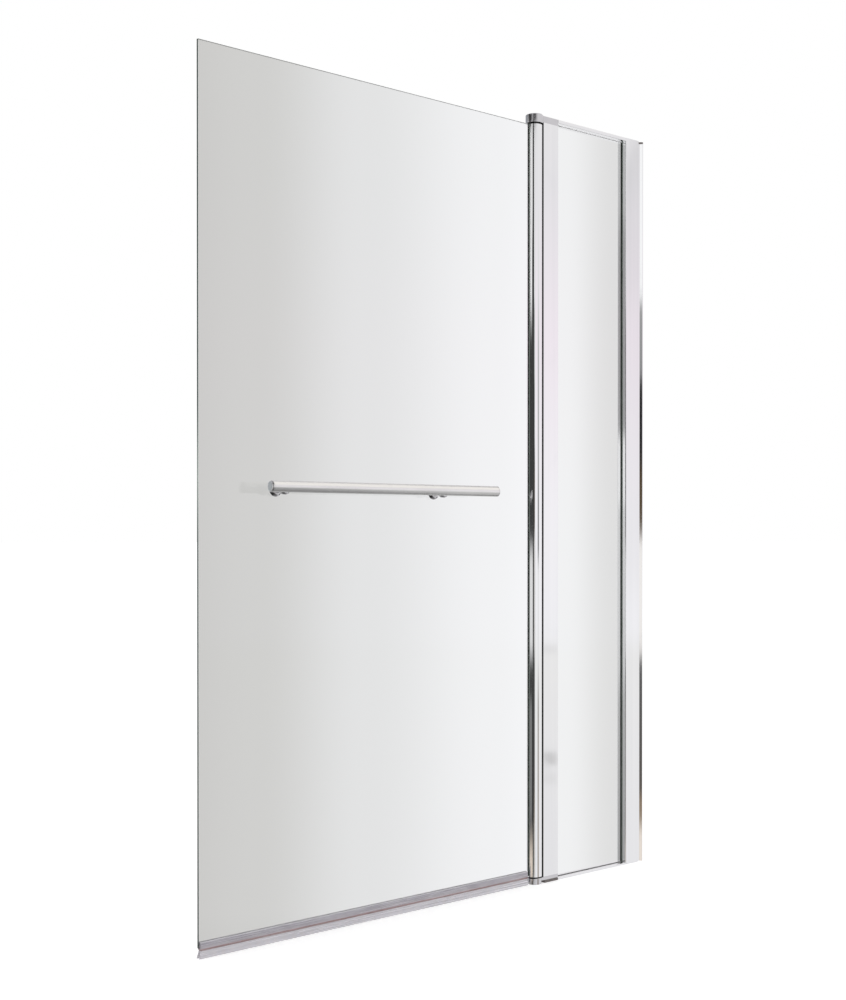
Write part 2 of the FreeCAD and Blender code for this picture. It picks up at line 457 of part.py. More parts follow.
bar_envelope = cyl_x(BAR_Y, BAR_Z, BAR_R + 0.02, BAR_X0 - 10, BAR_X1 + 10)
bushes, fronts, rears, bolts, inserts = [], [], [], [], []
for side, x in zip(("left", "right"), RAIL_X):
    y_rose = -G - WASHER_T
    # the rose is a cushion about the neck: a small foot, a round rim and a shallow dome
    rose = turned([(NECK_R + 0.05, y_rose), (ROSE_R - 2.6, y_rose), ((ROSE_R - 0.7, y_rose - 1.1), (ROSE_R, y_rose - 3.0)),
                   ((ROSE_R - 1.7, y_rose - ROSE_T + 1.3), (NECK_R + 1.8, y_rose - ROSE_T)),
                   (NECK_R + 0.05, y_rose - ROSE_T)], x, RAIL_Z)
    put("rail_rose_" + side, rose)
    # the head is rounded at both ends
    h = HEAD_ROUND * (1 - math.sqrt(0.5))
    neck = turned([(BOLT_R + 0.1, y_rose), (NECK_R, y_rose), (NECK_R, HEAD_Y1 + 1.2), ((NECK_R + 0.3, HEAD_Y1 + 0.35), (NECK_R + 1.1, HEAD_Y1)),
                   (HEAD_R - HEAD_ROUND, HEAD_Y1), ((HEAD_R - h, HEAD_Y1 - h), (HEAD_R, HEAD_Y1 - HEAD_ROUND)),
                   (HEAD_R, HEAD_Y0 + HEAD_ROUND), ((HEAD_R - h, HEAD_Y0 + h), (HEAD_R - HEAD_ROUND, HEAD_Y0)), (BOLT_R + 0.1, HEAD_Y0)], x, RAIL_Z)
    put("rail_post_" + side, neck.cut(bar_envelope))
    bushes.append(revolve_y([(BOLT_R + 0.15, -G), (GLASS_HOLE_R - 0.1, -G), (GLASS_HOLE_R - 0.1, G), (BOLT_R + 0.15, G)], x, RAIL_Z))
    a, b = G + EASE, G + WASHER_T
    fronts.append(revolve_y([(BOLT_R + 0.15, -b), (ROSE_R - 2.8, -b), (ROSE_R - 2.8, -a), (BOLT_R + 0.15, -a)], x, RAIL_Z))
    rears.append(revolve_y([(BOLT_R + 0.15, a), (REAR_R, a), (REAR_R, b), (BOLT_R + 0.15, b)], x, RAIL_Z))
    h = G + WASHER_T
    # a small button head, which the post hides from the front
    bolt = turned([(0, -41.5), (BOLT_R - 0.6, -41.5), (BOLT_R, -40.9), (BOLT_R, h), (REAR_R - 0.8, h), (REAR_R - 0.8, h + 1.0),
                   ((REAR_R - 2.0, h + 2.9), (2.9, h + 4.0)), (0, h + 4.2)], x, RAIL_Z)
    hexagon = [(x + 2.3 * math.cos(math.radians(60 * i)), h + 1.2, RAIL_Z + 2.3 * math.sin(math.radians(60 * i))) for i in range(6)]
    bolts.append(clean(bolt.cut(prism(hexagon, (0, 1, 0), 5.0))))
    insert = revolve_y([(BOLT_R, -42.5), (3.45, -42.5), (3.45, -35.3), (BOLT_R, -35.3)], x, RAIL_Z)
    inserts.append(insert.common(cyl_x(BAR_Y, BAR_Z, BAR_R - 0.3, BAR_X0, BAR_X1)))
put("glass_hole_bushes", Part.makeCompound(bushes), 2)
put("rail_washers_front", Part.makeCompound(fronts), 2)
put("rail_washers_rear", Part.makeCompound(rears), 2)
put("rail_bolts", Part.makeCompound(bolts), 2)
put("bar_inserts", Part.makeCompound(inserts), 2)

# ---------------------------------------------------------------- files
total = None
for name, shape in NODES.items():
    shape.exportStep("parts/%s.step" % name)
    bb = shape.BoundBox
    total = FreeCAD.BoundBox(bb) if total is None else (total.add(bb) or total)
    print("%-22s %8.1f cm3  x %.1f..%.1f  y %.1f..%.1f  z %.1f..%.1f"
          % (name, shape.Volume / 1000, bb.XMin, bb.XMax, bb.YMin, bb.YMax, bb.ZMin, bb.ZMax))
print("%d nodes, box x %.1f..%.1f y %.1f..%.1f z %.1f..%.1f"
      % (len(NODES), total.XMin, total.XMax, total.YMin, total.YMax, total.ZMin, total.ZMax))
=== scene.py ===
import json
from math import radians

import bmesh
import bpy
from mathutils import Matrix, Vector

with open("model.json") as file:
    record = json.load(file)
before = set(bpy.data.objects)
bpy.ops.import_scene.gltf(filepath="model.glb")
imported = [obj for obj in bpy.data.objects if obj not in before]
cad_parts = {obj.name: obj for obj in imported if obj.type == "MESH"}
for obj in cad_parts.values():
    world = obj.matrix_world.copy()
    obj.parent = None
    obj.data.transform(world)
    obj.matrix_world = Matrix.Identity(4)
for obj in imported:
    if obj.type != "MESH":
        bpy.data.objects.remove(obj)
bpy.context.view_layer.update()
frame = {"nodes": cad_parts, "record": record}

NODES = frame["nodes"]
SCENE = bpy.context.scene

# ---------------------------------------------------------------- node helpers


class Tree:
    """A short way to write node trees."""

    def __init__(self, node_tree):
        self.t = node_tree
        self.t.nodes.clear()

    def add(self, kind, **settings):
        n = self.t.nodes.new(kind)
        for k, v in settings.items():
            setattr(n, k, v)
        return n

    def link(self, a, b):
        self.t.links.new(a, b)

    def put(self, socket, value):
        """Links an output, or sets a plain value."""
        if isinstance(value, bpy.types.NodeSocket):
            self.t.links.new(value, socket)
        else:
            socket.default_value = value

    def math(self, op, a, b=0.0, c=0.0, clamp=False):
        n = self.add("ShaderNodeMath", operation=op, use_clamp=clamp)
        self.put(n.inputs[0], a)
        self.put(n.inputs[1], b)
        self.put(n.inputs[2], c)
        return n.outputs[0]

    def split(self, vector):
        n = self.add("ShaderNodeSeparateXYZ")
        self.link(vector, n.inputs[0])
        return n.outputs

    def coords(self, which="Object"):
        return self.add("ShaderNodeTexCoord").outputs[which]

    def noise(self, scale, detail=2.0, rough=0.5, at=None, size=1.0, distortion=0.0):
        """Noise with features of 1 / scale metres on each axis."""
        m = self.add("ShaderNodeMapping")
        self.link(at or self.coords(), m.inputs["Vector"])
        m.inputs["Scale"].default_value = scale
        n = self.add("ShaderNodeTexNoise")
        self.link(m.outputs[0], n.inputs["Vector"])
        n.inputs["Scale"].default_value = size
        n.inputs["Detail"].default_value = detail
        n.inputs["Roughness"].default_value = rough
        n.inputs["Distortion"].default_value = distortion
        return n.outputs["Fac"]

    def span(self, value, a, b, lo=0.0, hi=1.0, smooth=False):
        """value from a..b mapped to lo..hi and held there outside."""
        n = self.add("ShaderNodeMapRange", clamp=True)
        n.interpolation_type = "SMOOTHSTEP" if smooth else "LINEAR"
        self.put(n.inputs["Value"], value)
        for name, v in (("From Min", a), ("From Max", b), ("To Min", lo), ("To Max", hi)):
            n.inputs[name].default_value = v
        return n.outputs[0]

    def window(self, value, a, b, soft):
        """1 between a and b, falling to 0 over soft outside them."""
        up = self.span(value, a - soft, a, smooth=True)
        down = self.span(value, b, b + soft, 1.0, 0.0, smooth=True)
        return self.math("MULTIPLY", up, down)

    def mix(self, fac, a, b):
        n = self.add("ShaderNodeMix", data_type="RGBA", clamp_factor=True)
        self.put(n.inputs[0], fac)
        self.put(n.inputs[6], a if isinstance(a, bpy.types.NodeSocket) else (*a, 1.0))
        self.put(n.inputs[7], b if isinstance(b, bpy.types.NodeSocket) else (*b, 1.0))
        return n.outputs[2]

    def ramp(self, fac, stops, interpolation="LINEAR"):
        n = self.add("ShaderNodeValToRGB")
        n.color_ramp.interpolation = interpolation
        el = n.color_ramp.elements
        while len(el) > 1:
            el.remove(el[-1])
        el[0].position = stops[0][0]
        el[0].color = (*stops[0][1], 1.0)
        for pos, col in stops[1:]:
            el.new(pos).color = (*col, 1.0)
        self.put(n.inputs["Fac"], fac)
        return n.outputs["Color"]

    def bump(self, height, strength, distance, normal=None):
        n = self.add("ShaderNodeBump")
        n.inputs["Strength"].default_value = strength
        n.inputs["Distance"].default_value = distance
        self.link(height, n.inputs["Height"])
        if normal is not None:
            self.link(normal, n.inputs["Normal"])
        return n.outputs["Normal"]


def material(name, display):
    m = bpy.data.materials.new(name)
    m.use_nodes = True
    m.diffuse_color = (*display, 1.0)
    t = Tree(m.node_tree)
    out = t.add("ShaderNodeOutputMaterial")
    bsdf = t.add("ShaderNodeBsdfPrincipled")
    t.link(bsdf.outputs[0], out.inputs["Surface"])
    return m, t, bsdf


# ---------------------------------------------------------------- materials


def profile_material(name, along):
    """Polished extrusion: fine die lines along its length, soft smears and a little unevenness."""
    m, t, b = material(name, (0.86, 0.86, 0.87))
    fine = {"z": (1500.0, 1500.0, 4.0), "x": (4.0, 1500.0, 1500.0)}[along]
    slow = {"z": (120.0, 120.0, 1.5), "x": (1.5, 120.0, 120.0)}[along]
    lines = t.noise(fine, 3.0, 0.6)
    drawn = t.noise(slow, 2.0, 0.5)
    smears = t.noise((9.0, 9.0, 5.0), 4.0, 0.62, distortion=0.6)
    specks = t.noise((420.0, 420.0, 420.0), 2.0, 0.7)
    haze = t.span(smears, 0.48, 0.72, 0.0, 1.0, smooth=True)
    r = t.math("MULTIPLY_ADD", haze, 0.035, 0.035)
    r = t.math("ADD", r, t.span(lines, 0.45, 0.8, 0.0, 0.03))
    r = t.math("ADD", r, t.span(specks, 0.66, 0.78, 0.0, 0.10))
    t.link(r, b.inputs["Roughness"])
    tone = t.math("ADD", t.span(drawn, 0.3, 0.7, 0.0, 0.6), t.span(haze, 0.0, 1.0, 0.0, 0.4))
    t.link(t.mix(tone, (0.93, 0.93, 0.94), (0.88, 0.885, 0.895)), b.inputs["Base Color"])
    b.inputs["Metallic"].default_value = 1.0
    n = t.bump(lines, 0.05, 0.00002)
    n = t.bump(drawn, 0.05, 0.00008, n)
    t.link(n, b.inputs["Normal"])
    return m


def fitting_material():
    """Chrome plate on castings and turned parts: mirror bright with faint polish marks and tiny pits."""
    m, t, b = material("chrome_fitting_look", (0.88, 0.88, 0.89))
    cloud = t.noise((60.0, 60.0, 60.0), 4.0, 0.6)
    polish = t.noise((900.0, 700.0, 250.0), 3.0, 0.6, distortion=1.2)
    pits = t.noise((1400.0, 1400.0, 1400.0), 1.0, 0.5)
    r = t.math("ADD", t.span(cloud, 0.4, 0.75, 0.03, 0.075), t.span(pits, 0.70, 0.8, 0.0, 0.15))
    t.link(t.math("ADD", r, t.span(polish, 0.5, 0.9, 0.0, 0.02)), b.inputs["Roughness"])
    t.link(t.mix(t.span(cloud, 0.35, 0.7), (0.685, 0.675, 0.695), (0.63, 0.625, 0.645)), b.inputs["Base Color"])
    b.inputs["Metallic"].default_value = 1.0
    t.link(t.bump(polish, 0.04, 0.00004), b.inputs["Normal"])
    return m


def tube_material():
    """Satin tube: short scratches of the abrasive belt along the tube."""
    m, t, b = material("brushed_tube_look", (0.78, 0.77, 0.76))
    grain = t.noise((35.0, 2600.0, 2600.0), 3.0, 0.65)
    strokes = t.noise((9.0, 900.0, 900.0), 2.0, 0.6)
    cloud = t.noise((14.0, 50.0, 50.0), 3.0, 0.6)
    tone = t.math("ADD", t.span(grain, 0.3, 0.75, 0.0, 0.7), t.span(cloud, 0.35, 0.7, 0.0, 0.3))
    t.link(t.mix(tone, (0.90, 0.895, 0.89), (0.77, 0.765, 0.765)), b.inputs["Base Color"])
    r = t.math("ADD", t.span(strokes, 0.25, 0.75, 0.17, 0.27), t.span(cloud, 0.4, 0.7, 0.0, 0.05))
    t.link(r, b.inputs["Roughness"])
    b.inputs["Metallic"].default_value = 1.0
    n = t.bump(grain, 0.12, 0.00002)
    t.link(t.bump(strokes, 0.10, 0.00003, n), b.inputs["Normal"])
    return m


def stainless_material():
    """Plain screws and pins: turned surface with fine rings and a cloudy, uneven tone."""
    m, t, b = material("stainless_look", (0.62, 0.62, 0.63))
    rings = t.noise((1800.0, 1800.0, 1800.0), 2.0, 0.6)
    cloud = t.noise((300.0, 300.0, 300.0), 3.0, 0.6)
    t.link(t.mix(t.span(cloud, 0.35, 0.7), (0.66, 0.66, 0.67), (0.52, 0.52, 0.54)), b.inputs["Base Color"])
    t.link(t.span(rings, 0.3, 0.75, 0.18, 0.34), b.inputs["Roughness"])
    b.inputs["Metallic"].default_value = 1.0
    t.link(t.bump(rings, 0.15, 0.00003), b.inputs["Normal"])
    return m


def rubber_material():
    """Black extruded gasket whose outer lips are painted a lighter grey-green as a painted reflection: faint matt
    streaks and pin-head bloom.
    """
    m, t, b = material("black_rubber_look", (0.03, 0.035, 0.03))
    x, y, z = t.split(t.coords())
    streak = t.noise((500.0, 500.0, 12.0), 3.0, 0.6)
    bloom = t.noise((160.0, 160.0, 60.0), 4.0, 0.65)
    grit = t.noise((2200.0, 2200.0, 2200.0), 2.0, 0.6)
    core = t.mix(t.span(bloom, 0.4, 0.75), (0.006, 0.009, 0.007), (0.014, 0.018, 0.015))
    # painted reflection: the outer lips are painted lighter grey-green in place of the environment's sheen on their
    # slopes
    lips_painted_reflection = t.mix(t.span(bloom, 0.4, 0.75), (0.085, 0.105, 0.092), (0.13, 0.15, 0.135))
    t.link(t.mix(t.span(t.math("ABSOLUTE", y), 0.00262, 0.0029), core, lips_painted_reflection), b.inputs["Base Color"])
    t.link(t.span(streak, 0.3, 0.75, 0.28, 0.45), b.inputs["Roughness"])
    b.inputs["Specular IOR Level"].default_value = 0.3
    n = t.bump(grit, 0.25, 0.00004)
    t.link(t.bump(streak, 0.15, 0.00008, n), b.inputs["Normal"])
    return m


def gap_material():
    """Soft black strip in the hollow beside the barrel: matt, with rubbed streaks."""
    m, t, b = material("gap_rubber_look", (0.02, 0.02, 0.02))
    streak = t.noise((600.0, 600.0, 9.0), 3.0, 0.6)
    grit = t.noise((2200.0, 2200.0, 2200.0), 2.0, 0.6)
    t.link(t.mix(t.span(streak, 0.35, 0.75), (0.006, 0.006, 0.005), (0.018, 0.017, 0.015)), b.inputs["Base Color"])
    t.link(t.span(streak, 0.3, 0.75, 0.45, 0.65), b.inputs["Roughness"])
    b.inputs["Specular IOR Level"].default_value = 0.15
    t.link(t.bump(grit, 0.25, 0.00004), b.inputs["Normal"])
    return m


def plastic_material(name, dark, light, rough):
    """Moulded plastic: fine spark texture with a few lighter grains."""
    m, t, b = material(name, light)
    spark = t.noise((1500.0, 1500.0, 1500.0), 3.0, 0.65)
    grains = t.noise((650.0, 650.0, 650.0), 2.0, 0.5)
    cloud = t.noise((90.0, 90.0, 90.0), 3.0, 0.6)
    base = t.mix(t.span(cloud, 0.35, 0.7), dark, light)
    pale = tuple(min(1.0, c * 1.9) for c in light)
    t.link(t.mix(t.span(grains, 0.64, 0.74, 0.0, 0.5), base, pale), b.inputs["Base Color"])
    t.link(t.span(spark, 0.3, 0.75, rough - 0.08, rough + 0.08), b.inputs["Roughness"])
    t.link(t.bump(spark, 0.3, 0.00006), b.inputs["Normal"])
    return m


def glass_material():
    """Clear toughened float glass: clean faces with the faintest smears, ground edges that show dark green."""
    m, t, b = material("clear_glass_look", (0.86, 0.93, 0.90))
    nx, ny, nz = t.split(t.coords("Normal"))
    x, y, z = t.split(t.coords())
    face = t.span(t.math("ABSOLUTE", ny), 0.35, 0.9)
    ground = t.noise((700.0, 700.0, 160.0), 3.0, 0.6)
    smear = t.noise((5.0, 5.0, 2.2), 4.0, 0.6, distortion=0.5)
    # painted light along the edges: the edge green is painted by height, darkest at the bottom, with a painted
    # highlight band a little above mid-height, in place of the light that runs down inside the pane
    edge_painted_light = t.ramp(
        t.span(z, 0.0, 1.43),
        [
            (0.00, (0.010, 0.014, 0.011)),
            (0.30, (0.035, 0.050, 0.040)),
            (0.44, (0.060, 0.080, 0.068)),
            (0.52, (0.30, 0.34, 0.31)),
            (0.60, (0.050, 0.070, 0.058)),
            (1.00, (0.030, 0.045, 0.036)),
        ],
        "EASE",
    )
    edge = t.mix(t.span(ground, 0.35, 0.7, 0.0, 0.3), edge_painted_light, (0.05, 0.075, 0.06))
    t.link(t.mix(face, edge, (0.984, 0.990, 0.986)), b.inputs["Base Color"])
    edge_rough = t.span(ground, 0.3, 0.7, 0.10, 0.22)
    face_rough = t.span(smear, 0.5, 0.8, 0.0, 0.012)
    r = t.add("ShaderNodeMix", data_type="FLOAT")
    t.link(face, r.inputs[0])
    t.link(edge_rough, r.inputs[2])
    t.link(face_rough, r.inputs[3])
    t.link(r.outputs[0], b.inputs["Roughness"])
    t.link(t.span(face, 0.0, 1.0, 0.12, 1.0), b.inputs["Transmission Weight"])
    b.inputs["IOR"].default_value = 1.5
    wave = t.noise((2.6, 2.6, 3.4), 1.0, 0.4)
    t.link(t.bump(wave, 0.03, 0.0005), b.inputs["Normal"])
    return m


def seal_material():
    """Clear flexible extrusion: hazy and lilac, with painted shade as a dark band where the web carries the pane and
    lighter painted bands in the thick legs and the lips.
    """
    m, t, b = material("clear_seal_look", (0.72, 0.70, 0.73))
    x, y, z = t.split(t.coords())
    streak = t.noise((6.0, 500.0, 500.0), 3.0, 0.6)
    haze = t.noise((30.0, 120.0, 120.0), 4.0, 0.6)
    # colour painted by height over the seal's own hazy lilac: painted shade as a dark band at the web, painted light as
    # lighter bands in the legs and lips
    tone = t.ramp(
        t.span(z, 0.0, 0.0256),
        [
            (0.00, (0.60, 0.58, 0.62)),
            (0.06, (0.74, 0.72, 0.76)),
            (0.22, (0.66, 0.64, 0.68)),
            (0.28, (0.74, 0.72, 0.76)),
            (0.44, (0.68, 0.66, 0.70)),
            (0.49, (0.30, 0.19, 0.19)),
            (0.56, (0.34, 0.21, 0.21)),
            (0.61, (0.50, 0.47, 0.51)),
            (0.92, (0.46, 0.44, 0.49)),
            (0.96, (0.68, 0.66, 0.70)),
            (1.00, (0.72, 0.70, 0.74)),
        ],
    )
    t.link(t.mix(t.span(haze, 0.35, 0.75, 0.0, 0.25), tone, (0.74, 0.73, 0.75)), b.inputs["Base Color"])
    t.link(t.span(streak, 0.3, 0.75, 0.18, 0.34), b.inputs["Roughness"])
    t.link(t.span(haze, 0.3, 0.75, 0.42, 0.30), b.inputs["Transmission Weight"])
    b.inputs["IOR"].default_value = 1.52
    t.link(t.bump(streak, 0.12, 0.0001), b.inputs["Normal"])
    return m


def strip_material():
    """Soft glazing strip: milky above the fixed pane, painted dark grey below it as painted shade."""
    m, t, b = material("clear_strip_look", (0.66, 0.65, 0.67))
    x, y, z = t.split(t.coords())
    streak = t.noise((6.0, 500.0, 500.0), 3.0, 0.6)
    haze = t.noise((30.0, 120.0, 120.0), 4.0, 0.6)
    top = t.mix(t.span(haze, 0.35, 0.75), (0.96, 0.955, 0.965), (0.90, 0.895, 0.91))
    # painted shade: below the fixed pane the strip is painted dark grey
    foot_painted_shade = t.mix(t.span(haze, 0.35, 0.75), (0.26, 0.25, 0.255), (0.34, 0.33, 0.335))
    t.link(t.mix(t.span(z, 0.5, 0.9), foot_painted_shade, top), b.inputs["Base Color"])
    t.link(t.span(streak, 0.3, 0.75, 0.20, 0.36), b.inputs["Roughness"])
    t.link(t.math("MULTIPLY", t.span(haze, 0.3, 0.75, 0.40, 0.28), t.span(z, 0.5, 0.9, 1.0, 0.1)), b.inputs["Transmission Weight"])
    b.inputs["IOR"].default_value = 1.5
    t.link(t.bump(streak, 0.12, 0.0001), b.inputs["Normal"])
    return m


def washer_material():
    """Clear moulded washers and bushes: slightly frosted, faint moulding rings."""
    m, t, b = material("clear_washer_look", (0.80, 0.82, 0.82))
    frost = t.noise((900.0, 900.0, 900.0), 3.0, 0.6)
    cloud = t.noise((200.0, 200.0, 200.0), 3.0, 0.6)
    t.link(t.mix(t.span(cloud, 0.35, 0.7), (0.84, 0.86, 0.86), (0.70, 0.72, 0.73)), b.inputs["Base Color"])
    t.link(t.span(frost, 0.3, 0.75, 0.12, 0.32), b.inputs["Roughness"])
    t.link(t.span(cloud, 0.3, 0.75, 0.75, 0.60), b.inputs["Transmission Weight"])
    b.inputs["IOR"].default_value = 1.49
    t.link(t.bump(frost, 0.15, 0.00005), b.inputs["Normal"])
    return m


LOOKS = {
    "profile_z": profile_material("chrome_profile_upright_look", "z"),
    "profile_x": profile_material("chrome_profile_rail_look", "x"),
    "fitting": fitting_material(),
    "tube": tube_material(),
    "stainless": stainless_material(),
    "rubber": rubber_material(),
    "gap": gap_material(),
    "dark_plastic": plastic_material("dark_plastic_look", (0.115, 0.100, 0.096), (0.165, 0.148, 0.143), 0.5),
    "bush": plastic_material("bush_plastic_look", (0.035, 0.035, 0.036), (0.06, 0.06, 0.062), 0.42),
    "glass": glass_material(),
    "seal": seal_material(),
    "strip": strip_material(),
    "washer": washer_material(),
}

LOOK_OF = {
    "clear_glass": "glass",
    "chrome_profile": "profile_z",
    "chrome_fitting": "fitting",
    "brushed_tube": "tube",
    "stainless": "stainless",
    "black_rubber": "rubber",
    "clear_seal": "seal",
    "clear_washer": "washer",
    "dark_plastic": "dark_plastic",
    "bush_plastic": "bush",
}

slot_of = {row["node"]: row["material_slot"] for row in frame["record"]["subparts"]}
for name, obj in NODES.items():
    look = LOOK_OF[slot_of[name]]
    if name in ("top_rail", "bottom_rail"):
        look = "profile_x"
    if name == "hinge_gap_seal":
        look = "gap"
    if name in ("top_rail_gasket", "bottom_rail_gasket"):
        look = "strip"
    for s in obj.material_slots:
        s.material = LOOKS[look]

# ---------------------------------------------------------------- studio: floor, light, camera

mesh = bpy.data.meshes.new("floor")
bm = bmesh.new()
bmesh.ops.create_grid(bm, x_segments=2, y_segments=2, size=60.0)
bm.to_mesh(mesh)
bm.free()
floor = bpy.data.objects.new("floor", mesh)
SCENE.collection.objects.link(floor)
floor.location = (-0.5, 0.0, -0.0004)
fm, ft, fb = material("floor_look", (0.95, 0.95, 0.95))
grit = ft.noise((3.0, 3.0, 3.0), 3.0, 0.6)
ft.link(ft.mix(ft.span(grit, 0.3, 0.7), (0.90, 0.90, 0.90), (0.915, 0.915, 0.915)), fb.inputs["Base Color"])
fb.inputs["Roughness"].default_value = 0.9
fb.inputs["Specular IOR Level"].default_value = 0.0
fb.inputs["Emission Color"].default_value = (1.0, 1.0, 1.0, 1.0)
fb.inputs["Emission Strength"].default_value = 0.30
mesh.materials.append(fm)
floor.visible_glossy = False
floor.visible_transmission = False

world = bpy.data.worlds.new("studio")
SCENE.world = world
world.use_nodes = True
w = Tree(world.node_tree)
wx, wy, wz = w.split(w.coords("Generated"))
az = w.math("MULTIPLY", w.math("ARCTAN2", wx, wy), 57.29578)
el = w.math("MULTIPLY", w.math("ARCSINE", wz), 57.29578)

# what shines through the panes: a soft grey-to-white sweep, repeated round the room
turn = w.math("FLOORED_MODULO", w.math("SUBTRACT", az, 28.0), 45.0)
sweep = w.ramp(
    w.math("DIVIDE", turn, 45.0),
    [
        (0.00, (0.56, 0.55, 0.54)),
        (0.10, (0.62, 0.615, 0.605)),
        (0.20, (0.77, 0.77, 0.775)),
        (0.32, (0.90, 0.90, 0.915)),
        (0.355, (0.93, 0.93, 0.95)),
        (0.385, (0.89, 0.89, 0.90)),
        (0.43, (0.74, 0.735, 0.735)),
        (0.60, (0.90, 0.90, 0.90)),
        (0.85, (0.80, 0.80, 0.79)),
        (1.00, (0.56, 0.55, 0.54)),
    ],
    "EASE",
)


def grey(v, warm=0.0):
    """A grey level, a little warmer for a positive second value."""
    return (v * (1.0 + warm), v, v * (1.0 - warm))


# what the metal mirrors, all round: pale walls
walls = w.ramp(
    w.span(el, -20.0, 70.0),
    [
        (0.00, (0.84, 0.835, 0.85)),
        (0.09, (0.86, 0.855, 0.865)),
        (0.165, (0.87, 0.865, 0.86)),
        (0.175, (0.93, 0.925, 0.945)),
        (0.23, (0.95, 0.935, 0.96)),
        (0.31, (0.93, 0.86, 0.915)),
        (0.38, (0.835, 0.82, 0.84)),
        (0.42, (0.86, 0.85, 0.85)),
        (0.60, (1.02, 0.99, 0.95)),
        (1.00, (0.95, 0.93, 0.90)),
    ],
)

# the unlit end of the room behind the camera: a dark opening, a brown board, a white board, dark feet, tan floor
ROOM = [
    (0.115, grey(0.77, 0.10)),
    (0.135, grey(0.22, 0.30)),
    (0.155, grey(0.22, 0.30)),
    (0.170, grey(0.10, 0.10)),
    (0.325, grey(0.12)),
    (0.350, grey(0.90, 0.03)),
    (0.480, grey(0.90, 0.03)),
    (0.505, grey(0.07, 0.40)),
    (0.570, grey(0.07, 0.40)),
    (0.590, grey(0.03)),
    (0.685, grey(0.03)),
    (0.700, grey(0.30)),
    (0.780, grey(0.35)),
    (0.800, grey(1.00)),
]
room = w.ramp(w.span(el, -16.0, 16.0), ROOM)
# the side of the room that the profiles' inner faces mirror, seen straight and seen through the pane
path = w.add("ShaderNodeLightPath").outputs
through = w.math("GREATER_THAN", path["Transmission Depth"], 0.5)
height = w.span(el, -16.0, 16.0)
side = w.ramp(
    height,
    [
        (0.000, grey(0.50)),
        (0.260, grey(0.28)),
        (0.310, grey(0.90)),
        (0.450, grey(0.90)),
        (0.470, grey(0.45)),
        (0.540, grey(0.55, 0.12)),
        (0.600, grey(0.55, 0.12)),
        (0.630, grey(0.09)),
        (0.750, grey(0.09)),
        (0.780, grey(0.45)),
        (0.900, grey(0.90)),
    ],
)
side_through = w.ramp(
    height,
    [
        (0.000, grey(0.28)),
        (0.280, grey(0.44)),
        (0.320, grey(0.65)),
        (0.525, grey(0.68)),
        (0.540, grey(0.90)),
        (0.610, grey(0.90)),
        (0.632, grey(0.30)),
        (0.860, grey(0.30)),
        (0.910, grey(0.50)),
    ],
)
studio = walls
studio = w.mix(w.math("MULTIPLY", w.window(az, -60.0, -36.0, 3.0), 0.86), studio, w.mix(through, side, side_through))
# an unlit corner that only the round barrel mirrors, with a few plain cards in it: left and right side, lower and upper edge, softness, tone
CARDS = [
    (-149.0, -66.0, -20.0, 20.0, 1.0, grey(0.05)),
    (-149.0, -142.4, -20.0, 2.5, 1.5, grey(0.30)),
    (-149.0, -142.4, 4.0, 20.0, 1.5, grey(0.75)),
    (-116.5, -66.0, -20.0, -13.5, 1.5, grey(0.65, 0.15)),
    (-105.5, -66.0, -11.5, -7.5, 1.0, grey(0.20)),
    (-116.5, -66.0, -4.5, -1.5, 1.5, grey(0.75)),
    (-105.5, -91.5, 10.0, 20.0, 2.5, grey(0.95)),
    (-116.5, -105.5, 13.5, 20.0, 2.5, grey(0.50)),
    (-91.5, -66.0, 12.5, 20.0, 2.5, grey(0.20)),
]
for left, right, low, high, soft, tone in CARDS:
    studio = w.mix(w.math("MULTIPLY", w.window(az, left, right, 0.8), w.window(el, low, high, soft)), studio, tone)
studio = w.mix(w.window(az, -141.6, -135.7, 0.6), studio, room)
# a half-open door at the far side
door = w.ramp(
    w.span(el, -14.0, 14.0),
    [
        (0.00, grey(0.34, 0.12)),
        (0.24, grey(0.38, 0.05)),
        (0.31, grey(0.80)),
        (0.44, grey(0.84)),
        (0.47, grey(0.22)),
        (0.54, grey(0.28)),
        (0.60, grey(0.42)),
        (0.76, grey(0.50)),
        (0.86, grey(0.78)),
        (1.00, grey(0.84)),
    ],
)
studio = w.mix(w.window(az, 152.0, 172.0, 1.5), studio, door)
# stacked rails at the far side, seen only by faces square to the front, and a slanted shade above them
square = w.window(az, 135.08, 135.62, 0.10)
rails = w.math("MULTIPLY", w.window(el, -9.60, -9.25, 0.15), 0.34)
rails = w.math("ADD", rails, w.math("MULTIPLY", w.window(el, -10.35, -10.1, 0.2), 0.10))
rails = w.math("ADD", rails, w.math("MULTIPLY", w.window(el, -5.05, -4.85, 0.15), 0.12))
rails = w.math("ADD", rails, w.span(el, -12.0, -4.7, 0.04, 0.0))
studio = w.mix(w.math("MULTIPLY", rails, square), studio, (0.05, 0.05, 0.04))
slant = w.math("SUBTRACT", w.math("MULTIPLY_ADD", w.math("SUBTRACT", 132.11, az), 2.4, 15.1), el)
shade = w.math("MULTIPLY", w.span(slant, -0.1, 0.15), w.span(slant, 1.0, 7.0, 1.0, 0.0))
shade = w.math("MULTIPLY", shade, w.window(az, 131.5, 132.3, 0.1))
studio = w.mix(w.math("MULTIPLY", shade, 0.17), studio, (0.10, 0.10, 0.10))
veil = w.math("MULTIPLY", w.window(az, 126.0, 133.6, 0.8), w.window(el, -0.5, 10.0, 3.5))
studio = w.mix(w.math("MULTIPLY", veil, 0.075), studio, (0.10, 0.10, 0.10))
